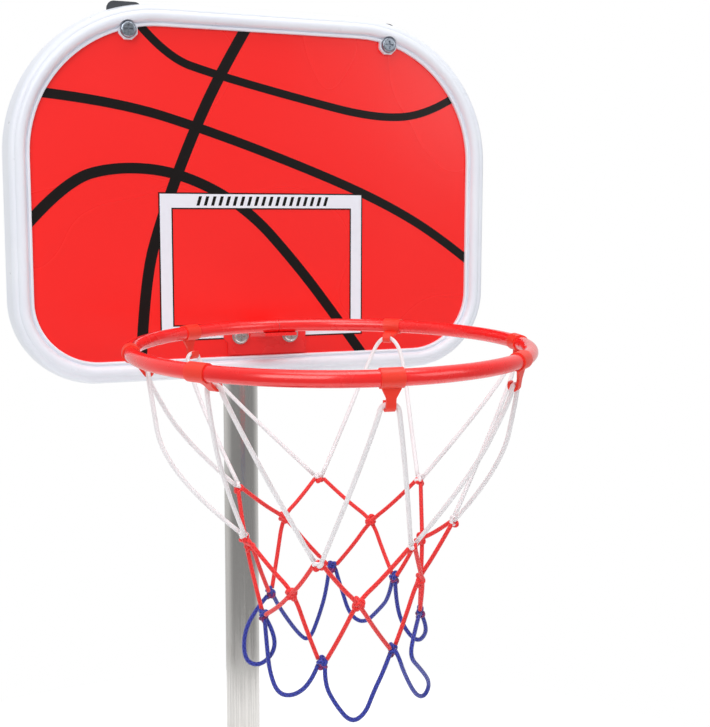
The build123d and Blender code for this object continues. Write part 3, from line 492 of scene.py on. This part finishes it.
def net_knots(name, places, turns, node):
    """All knots of one row as one piece. turns gives each turn's drop, tip, size and shader."""
    vertices, faces, uvs, face_slots = [], [], [], []
    for index, (angle, radius, rise) in enumerate(places):
        for turn_index, (drop, tip, size, _) in enumerate(turns):
            centre = ring_point(angle, radius, rise - drop)
            path = knot_turn(centre, angle, tip + 37 * index, size)
            more, more_faces, more_uvs = tube_mesh(path, KNOT_CORD_R, 8, closed=True)
            first = len(vertices)
            vertices.extend(more)
            faces.extend(tuple(first + v for v in face) for face in more_faces)
            uvs.extend(more_uvs)
            face_slots.extend([turn_index] * len(more_faces))
    piece = new_piece(name, vertices, faces, turns[0][3].material, smooth=True, uvs=uvs)
    for _, _, _, shader in turns[1:]:
        piece.data.materials.append(shader.material)
    for polygon, slot_index in zip(piece.data.polygons, face_slots):
        polygon.material_index = slot_index
    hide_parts(node)


net_knots("white_knot_row", WHITE_KNOTS,
          [(0.0, 0, 0.00095, cord_white), (0.0020, 80, 0.00100, cord_red)],
          "net_white_knots")
net_knots("red_knot_row", RED_KNOTS,
          [(-0.0009, 10, 0.00115, cord_red), (0.0012, 75, 0.00110, cord_red)],
          "net_red_knots")
net_knots("blue_knot_row", BLUE_KNOTS,
          [(-0.0008, 5, 0.00100, cord_blue), (0.0022, 70, 0.00090, wrap_purple)],
          "net_blue_knots")

# ---- Print on the board: x and height from the rim, in metres ----
LINE_WIDTHS = [0.0088, 0.0066, 0.0076, 0.0084]
BALL_LINES = [
    [(-0.013, 0.242), (-0.036, 0.203), (-0.060, 0.152), (-0.084, 0.090), (-0.100, 0.035),
     (-0.104, -0.035)],
    [(-0.104, 0.242), (-0.080, 0.214), (-0.040, 0.202), (0.024, 0.187), (0.100, 0.171),
     (0.150, 0.176), (0.180, 0.196)],
    [(-0.185, 0.183), (-0.120, 0.178), (-0.040, 0.155), (0.050, 0.123), (0.110, 0.098),
     (0.160, 0.070), (0.192, 0.046)],
    [(-0.192, 0.078), (-0.160, 0.115), (-0.120, 0.127), (-0.070, 0.123), (-0.015, 0.095),
     (0.030, 0.045), (0.068, -0.005), (0.092, -0.038)],
]
TARGET_HALF_W = 0.0878
TARGET_LOW = -0.0152
TARGET_HIGH = 0.1065
TARGET_SIDE = 0.0115
TARGET_TOP = 0.0135
TARGET_BOTTOM = 0.013
OUTLINE = 0.0011
STROKE_COUNT = 19
STROKE_H = 0.0076
STROKE_W = 0.0026
STROKE_SLANT = 0.0022
STROKE_HALF_SPAN = 0.0545


def on_board(x, rise, proud):
    return Vector((x, BOARD_Y - proud, RING_Z + rise))


def ribbon(name, points, width, proud, shader):
    """Flat stripe of ink along a smooth line."""
    path = smooth_path([on_board(x, rise, proud) for x, rise in points], 24)
    vertices = []
    for i, place in enumerate(path):
        run = path[min(i + 1, len(path) - 1)] - path[max(i - 1, 0)]
        side = Vector((-run.z, 0, run.x)).normalized() * width / 2
        vertices.extend((place + side, place - side))
    faces = [(2 * i, 2 * i + 1, 2 * i + 3, 2 * i + 2) for i in range(len(path) - 1)]
    piece = new_piece(name, vertices, faces, shader.material)


def rectangle_band(name, outer, inner, proud, shader):
    """Flat band between two upright rectangles, each given by its left, low, right and high."""
    vertices = []
    for left, low, right, high in (outer, inner):
        for x, rise in ((left, low), (right, low), (right, high), (left, high)):
            vertices.append(on_board(x, rise, proud))
    faces = [(k, (k + 1) % 4, 4 + (k + 1) % 4, 4 + k) for k in range(4)]
    piece = new_piece(name, vertices, faces, shader.material)


for count, (points, width) in enumerate(zip(BALL_LINES, LINE_WIDTHS), start=1):
    ribbon(f"ball_line_{count}", points, width, 0.00008 + 0.00003 * count, print_black)

outer_edge = (-TARGET_HALF_W, TARGET_LOW, TARGET_HALF_W, TARGET_HIGH)
inner_edge = (
    -TARGET_HALF_W + TARGET_SIDE, TARGET_LOW + TARGET_BOTTOM,
    TARGET_HALF_W - TARGET_SIDE, TARGET_HIGH - TARGET_TOP,
)


def grown(edge, amount):
    left, low, right, high = edge
    return (left - amount, low - amount, right + amount, high + amount)


rectangle_band("target_outline", outer_edge, inner_edge, 0.00024, print_black)
rectangle_band("target_band", grown(outer_edge, -OUTLINE), grown(inner_edge, OUTLINE),
               0.00028, print_white)

# A row of slanted strokes along the target's upper bar
stroke_vertices, stroke_faces = [], []
for k in range(STROKE_COUNT):
    x = STROKE_HALF_SPAN * (2 * k / (STROKE_COUNT - 1) - 1)
    low = TARGET_HIGH - TARGET_TOP / 2 - STROKE_H / 2
    first = len(stroke_vertices)
    for offset, rise in ((-STROKE_W / 2 - STROKE_SLANT / 2, 0), (STROKE_W / 2 - STROKE_SLANT / 2, 0),
                         (STROKE_W / 2 + STROKE_SLANT / 2, STROKE_H),
                         (-STROKE_W / 2 + STROKE_SLANT / 2, STROKE_H)):
        stroke_vertices.append(on_board(x + offset, low + rise, 0.00032))
    stroke_faces.append((first, first + 1, first + 2, first + 3))
strokes = new_piece("target_strokes", stroke_vertices, stroke_faces, print_black.material)

# ---- Floor, light and camera ----
FLOOR_R = 1.25
FLOOR_SIDES = 96
floor_shader = Shader("floor", (0.90, 0.90, 0.90), 0.8, Emission_Color=(1, 1, 1, 1),
                      Emission_Strength=0.52)
floor_edge = []
for k in range(FLOOR_SIDES):
    turn = 2 * math.pi * k / FLOOR_SIDES
    floor_edge.append((FLOOR_R * math.cos(turn), FLOOR_R * math.sin(turn), 0))
floor_mesh = bpy.data.meshes.new("floor")
floor_mesh.from_pydata(floor_edge, [], [tuple(range(FLOOR_SIDES))])
floor_mesh.materials.append(floor_shader.material)
floor = bpy.data.objects.new("floor", floor_mesh)
bpy.context.scene.collection.objects.link(floor)
floor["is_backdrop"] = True

# The studio's walls are bright behind the hoop and dimmer in front, so that gloss keeps its
# colour. Seen directly they are white on every side.
world = bpy.data.worlds.new("studio")
world.use_nodes = True
studio = world.node_tree
background = studio.nodes["Background"]
direction = studio.nodes.new("ShaderNodeTexCoord")
split_direction = studio.nodes.new("ShaderNodeSeparateXYZ")
studio.links.new(direction.outputs["Generated"], split_direction.inputs[0])
depth = studio.nodes.new("ShaderNodeMapRange")
depth.interpolation_type = "SMOOTHSTEP"
for key, value in (("From Min", -0.35), ("From Max", 0.55), ("To Min", 0.34), ("To Max", 0.76)):
    depth.inputs[key].default_value = value
studio.links.new(split_direction.outputs["Y"], depth.inputs["Value"])
seen = studio.nodes.new("ShaderNodeLightPath")
brightness = studio.nodes.new("ShaderNodeMath")
brightness.operation = "MAXIMUM"
studio.links.new(seen.outputs["Is Camera Ray"], brightness.inputs[0])
studio.links.new(depth.outputs["Result"], brightness.inputs[1])
studio.links.new(brightness.outputs[0], background.inputs["Color"])
bpy.context.scene.world = world
bpy.context.scene.view_settings.view_transform = "Standard"


def softbox(name, place, target, width, height, power):
    """Rectangular area light aimed at a point."""
    data = bpy.data.lights.new(name, "AREA")
    data.shape = "RECTANGLE"
    data.size = width
    data.size_y = height
    data.energy = power
    lamp = bpy.data.objects.new(name, data)
    lamp.location = place
    lamp.rotation_mode = "QUATERNION"
    lamp.rotation_quaternion = (Vector(target) - Vector(place)).to_track_quat("-Z", "Y")
    bpy.context.scene.collection.objects.link(lamp)


AIM = (0, -0.2, 0.95)
softbox("key", (-1.1, -1.7, 2.0), AIM, 1.3, 1.3, 20)
softbox("fill", (1.35, -1.8, 1.75), AIM, 1.0, 1.1, 8)
softbox("top", (0.1, -0.5, 2.5), AIM, 1.3, 0.9, 12)

CAMERA_PLACE = Vector((-0.2177, -0.9265, 1.0231))
CAMERA_YAW = 0.34394
CAMERA_PITCH = -0.10784
CAMERA_ROLL = 0.0034
forward = Vector((
    math.sin(CAMERA_YAW) * math.cos(CAMERA_PITCH),
    math.cos(CAMERA_YAW) * math.cos(CAMERA_PITCH),
    math.sin(CAMERA_PITCH),
))
level_right = Vector((math.cos(CAMERA_YAW), -math.sin(CAMERA_YAW), 0))
level_up = level_right.cross(forward)
right = level_right * math.cos(CAMERA_ROLL) + level_up * math.sin(CAMERA_ROLL)
up = right.cross(forward)
camera_data = bpy.data.cameras.new("camera")
camera_data.lens = 50.5
camera_data.sensor_width = 36
camera_data.shift_y = -0.0598
camera = bpy.data.objects.new("camera", camera_data)
camera.matrix_world = Matrix((
    (right.x, up.x, -forward.x, CAMERA_PLACE.x),
    (right.y, up.y, -forward.y, CAMERA_PLACE.y),
    (right.z, up.z, -forward.z, CAMERA_PLACE.z),
    (0, 0, 0, 1),
))
bpy.context.scene.collection.objects.link(camera)
bpy.context.scene.camera = camera

low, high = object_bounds()
